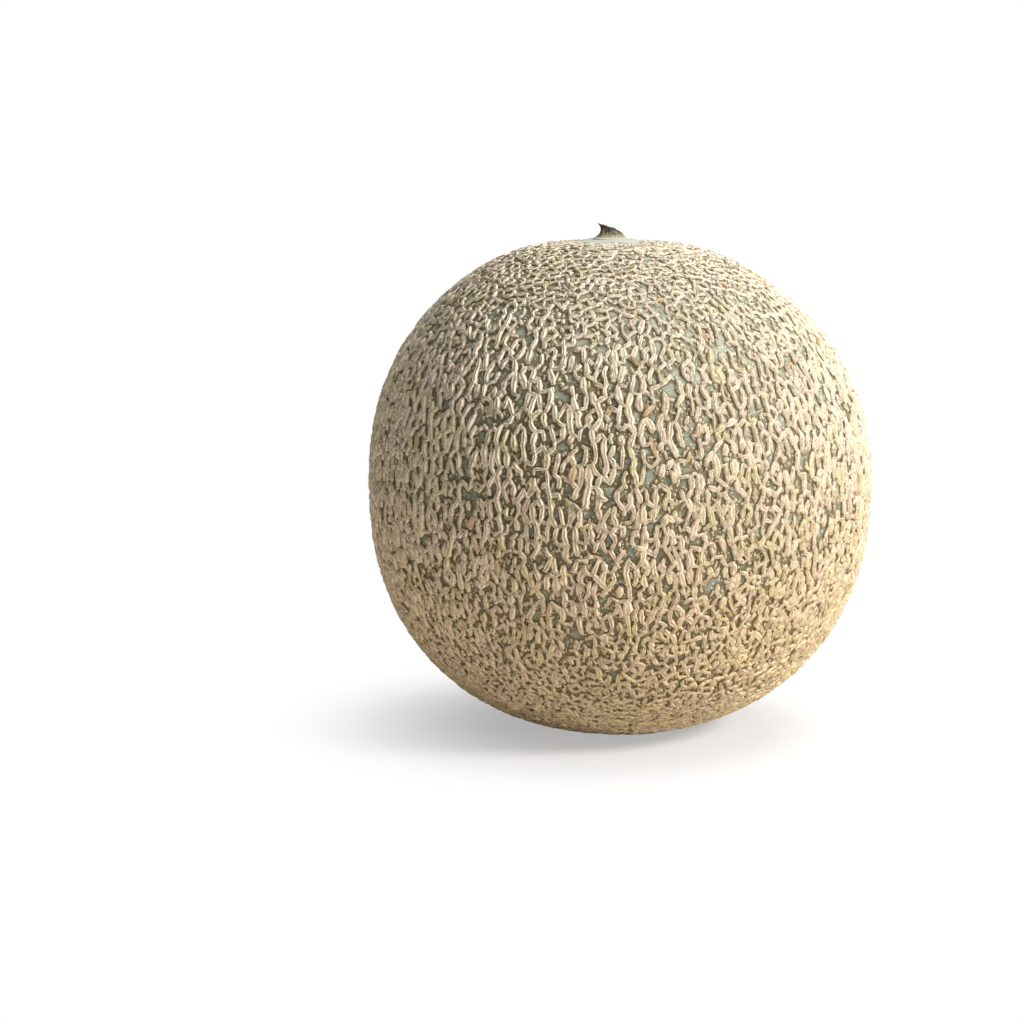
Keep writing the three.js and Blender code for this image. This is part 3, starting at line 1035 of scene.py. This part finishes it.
class MELON_OT_stem(bpy.types.Operator):
    """Grows the dried stub of the stem, with its flared foot and its broken end"""

    bl_idname = "melon.stem"
    bl_label = "Stem stub"

    def execute(self, context):
        centre = (STEM_LOW + STEM_HIGH) / 2
        around = np.arange(STEM_SIDES) / STEM_SIDES * 2 * np.pi
        turn, rise = np.meshgrid(around, np.linspace(0, 1, STEM_LEVELS))
        bark = self.bark(centre, turn, rise)
        end = self.broken_end(centre, bark[-STEM_SIDES:])
        points = np.vstack([bark, end])
        rings = len(points) // STEM_SIDES
        foot_ring = np.arange(STEM_SIDES)
        end_ring = STEM_SIDES * (rings - 1) + foot_ring
        faces = [wall(0, rings, STEM_SIDES), np.array([end_ring]), np.array([foot_ring[::-1]])]
        u = np.arange(STEM_SIDES + 1) / STEM_SIDES
        v = np.arange(rings) / (rings - 1) * WALL_ON_MAP
        circle = np.column_stack([np.cos(around), np.sin(around)]) * CIRCLE_ON_MAP
        uvs = [wall_uvs(u, v), circle + END_ON_MAP, circle[::-1] + FOOT_ON_MAP]
        piece = mesh_piece("stem", points, faces, uvs, stem_material())
        store(piece, "rise", np.concatenate([rise.ravel(), np.ones(len(end))]))
        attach(piece, "root")
        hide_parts("stem_stub")
        return {"FINISHED"}

    def bark(self, centre, turn, rise):
        """The points of the bark, ring by ring from the foot up."""
        # The end slants up to one side, where it runs out in a tip that leans outwards.
        high = (1 - np.cos(turn)) / 2
        height = LOW_SIDE + SLANT * high**0.6 + TIP * high**5
        waves = np.sin(7 * turn + 1) * np.sin(13 * turn) + 0.4 * np.sin(29 * turn)
        splinters = 0.12 * rise**6 * waves * (1 - high**8)
        ribs = 1 + 0.08 * rise * np.cos(5 * turn) + 0.03 * np.cos(17 * turn + 4 * rise) * (0.3 + rise)
        round_off = 0.5 * (1 - high) * smoothstep(0.6, 1.0, rise)
        bulge = BULGE * (1 - high) * (1 - rise) * rise
        radius = (STEM_RADIUS - round_off + bulge + FLARE * (1 - rise) ** 4) * ribs
        radius = radius + LEAN * high**5 * rise**5
        x = centre.x + radius * MM * np.cos(turn)
        y = centre.y + radius * MM * np.sin(turn)
        z = STEM_LOW.z + (rise * height + splinters) * MM
        return np.stack([x, y, np.maximum(z, STEM_LOW.z)], axis=2).reshape(-1, 3)

    def broken_end(self, centre, rim):
        """The points of the broken end, in rings that sink from the rim inwards."""
        rng = np.random.default_rng(STEM_SEED)
        middle = np.array([*centre.xy, rim[:, 2].mean()])
        rings = []
        for size, drop in BROKEN_RINGS:
            ring = middle + (rim - middle) * size
            ring[:, 2] = ring[:, 2] - drop * MM + rng.normal(scale=BROKEN_GRAIN, size=STEM_SIDES)
            rings.append(ring)
        return np.vstack(rings)


# Where the melon lies in the photograph, in pixels
PHOTO_SIDE = 1024
MELON_PIXEL = (618, 483)
MELON_PIXEL_RADIUS = 251
# Half the side of the floor, in metres, and how far from the fruit it has run out into white
FLOOR_HALF = 3.0
FLOOR_FADES = (0.03, 0.11)


class MELON_OT_stage(bpy.types.Operator):
    """Sets the floor, the light and the camera"""

    bl_idname = "melon.stage"
    bl_label = "Stage"

    def execute(self, context):
        self.floor()
        self.world(context)
        self.lamps(context)
        self.camera(context)
        return {"FINISHED"}

    def floor(self):
        """A wide pale floor."""
        half = FLOOR_HALF
        mesh = bpy.data.meshes.new("floor")
        corners = [(-half, -half, 0), (half, -half, 0), (half, half, 0), (-half, half, 0)]
        mesh.from_pydata(corners, [], [(0, 1, 2, 3)])
        nodes = Nodes("pale floor", {"Roughness": 0.9})
        pale = nodes.mix(nodes.noise(60 * MM, 3), (0.88, 0.88, 0.88), (0.91, 0.91, 0.905))
        mesh.materials.append(nodes.finish(base_color=pale))
        # Away from the fruit the floor runs out into the plain white behind it.
        settings = {"operation": "LENGTH"}
        away = nodes.add("ShaderNodeVectorMath", settings, {0: nodes.place()}, output="Value")
        seen = nodes.add("ShaderNodeLightPath", output="Is Camera Ray")
        white = nodes.add("ShaderNodeEmission")
        lit = Value(nodes, nodes.shader.outputs[0])
        faded = (0.42 + 0.58 * away.between(*FLOOR_FADES)) * seen
        either = nodes.add("ShaderNodeMixShader", inputs={0: faded, 1: lit, 2: white})
        nodes.feed(nodes.tree.nodes["Material Output"], {"Surface": either})
        floor = bpy.data.objects.new("floor", mesh)
        bpy.context.scene.collection.objects.link(floor)

    def world(self, context):
        """Light from all round, and plain white behind everything."""
        world = bpy.data.worlds.new("studio")
        world.use_nodes = True
        context.scene.world = world
        tree = world.node_tree
        background = tree.nodes["Background"]
        background.inputs["Color"].default_value = (1, 0.9, 0.79, 1)
        background.inputs["Strength"].default_value = context.scene.melon_stage.fill
        shown = tree.nodes.new("ShaderNodeBackground")
        shown.inputs["Color"].default_value = (1, 1, 1, 1)
        path = tree.nodes.new("ShaderNodeLightPath")
        either = tree.nodes.new("ShaderNodeMixShader")
        tree.links.new(path.outputs["Is Camera Ray"], either.inputs[0])
        tree.links.new(background.outputs[0], either.inputs[1])
        tree.links.new(shown.outputs[0], either.inputs[2])
        tree.links.new(either.outputs[0], tree.nodes["World Output"].inputs["Surface"])

    def lamps(self, context):
        """A soft key light from the upper right, a broad one from above and a weak one low in front."""
        target = Vector((0, 0, (FRUIT_LOW.z + FRUIT_HIGH.z) / 2))
        key = context.scene.melon_stage.key
        for name, place, size, power in (
            ("key", (1.0, -0.53, 0.72), 0.38, key),
            ("top", (0.35, 0.1, 1.3), 1.0, 0.8 * key),
            ("low", (0.7, -1.0, 0.06), 0.6, 0.22 * key),
        ):
            data = bpy.data.lights.new(name, "AREA")
            data.shape, data.size, data.energy = "DISK", size, power
            lamp = bpy.data.objects.new(name, data)
            lamp.location = place
            lamp.rotation_euler = (target - lamp.location).to_track_quat("-Z", "Y").to_euler()
            context.scene.collection.objects.link(lamp)

    def camera(self, context):
        """A long lens that puts the fruit where the photograph has it."""
        stage, shape = context.scene.melon_stage, context.scene.melon_shape
        data = bpy.data.cameras.new("camera")
        data.lens = stage.lens
        camera = bpy.data.objects.new("camera", data)
        context.scene.collection.objects.link(camera)
        context.scene.camera = camera
        pixels = stage.lens / data.sensor_width * PHOTO_SIDE
        distance = shape.diameter / 2 / math.sin(math.atan(MELON_PIXEL_RADIUS / pixels))
        centre = Vector((0, 0, (FRUIT_LOW.z + FRUIT_HIGH.z) / 2))
        back = Vector((0, -math.cos(stage.elevation), math.sin(stage.elevation)))
        up = Vector((0, math.sin(stage.elevation), math.cos(stage.elevation)))
        aside = (MELON_PIXEL[0] - PHOTO_SIDE / 2) / pixels * distance
        above = (PHOTO_SIDE / 2 - MELON_PIXEL[1]) / pixels * distance
        camera.location = centre + back * distance
        aim = centre - Vector((aside, 0, 0)) - up * above
        camera.rotation_euler = (aim - camera.location).to_track_quat("-Z", "Y").to_euler()
        context.scene.view_settings.view_transform = "Standard"


OPERATORS = (MELON_OT_rind, MELON_OT_net, MELON_OT_stem, MELON_OT_stage)
GROUPS = {
    "melon_shape": MelonShape,
    "melon_net": MelonNet,
    "melon_colours": MelonColours,
    "melon_stage": MelonStage,
}


class MELON_PT_panel(bpy.types.Panel):
    """The melon's pieces and their sizes"""

    bl_idname = "MELON_PT_panel"
    bl_label = "Netted melon"
    bl_space_type = "VIEW_3D"
    bl_region_type = "UI"
    bl_category = "Melon"

    def draw(self, context):
        for name, group in GROUPS.items():
            box = self.layout.box()
            for setting in group.__annotations__:
                box.prop(getattr(context.scene, name), setting)
        for operator in OPERATORS:
            self.layout.operator(operator.bl_idname)


def register():
    for cls in (*GROUPS.values(), *OPERATORS, MELON_PT_panel):
        bpy.utils.register_class(cls)
    for name, group in GROUPS.items():
        setattr(bpy.types.Scene, name, bpy.props.PointerProperty(type=group))


def unregister():
    for name in GROUPS:
        delattr(bpy.types.Scene, name)
    for cls in (MELON_PT_panel, *reversed(OPERATORS), *reversed(GROUPS.values())):
        bpy.utils.unregister_class(cls)


def main():
    """Grows the whole melon on its stage."""
    register()
    bpy.ops.melon.rind()
    bpy.ops.melon.net()
    bpy.ops.melon.stem()
    bpy.ops.melon.stage()


if __name__ == "__main__":
    main()
